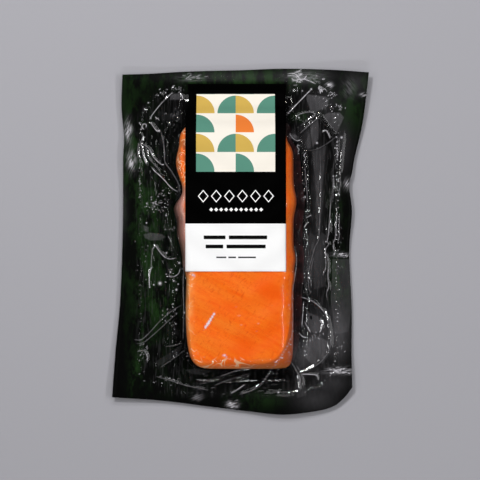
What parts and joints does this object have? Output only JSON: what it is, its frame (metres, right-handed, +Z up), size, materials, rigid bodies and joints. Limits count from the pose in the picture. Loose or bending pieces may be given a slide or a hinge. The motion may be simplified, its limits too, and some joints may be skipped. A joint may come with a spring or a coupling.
{
  "type": "vacuum pack of frozen king salmon",
  "caption": "Vacuum pack lying flat: black backing film, crumpled clear front film over a skin-on salmon portion, paper label on top.",
  "frame": {"origin": "on the table under the middle of the pack's outline", "axes": "+X to the label reader's right, +Y towards the label's upper edge, +Z up out of the label"},
  "size_m": [0.1699, 0.2291, 0.0249],
  "materials": {
    "backing_film": "glossy black-green laminate",
    "clear_film": "clear glossy film, heat sealed and crumpled",
    "salmon_flesh": "frozen orange flesh with pale muscle lines",
    "salmon_skin": "dark wet fish skin",
    "label_paper": "smooth white coated paper",
    "label_black": "solid black print on coated paper",
    "label_picture": "cream printed field with a coloured pattern"
  },
  "bodies": {
    "root": {"backing_film": "backing_film", "salmon_skin": "salmon_skin", "salmon_flesh": "salmon_flesh", "front_film": "clear_film", "label": "label_paper", "label_black_field": "label_black", "label_picture_field": "label_picture"}
  },
  "joints": []
}
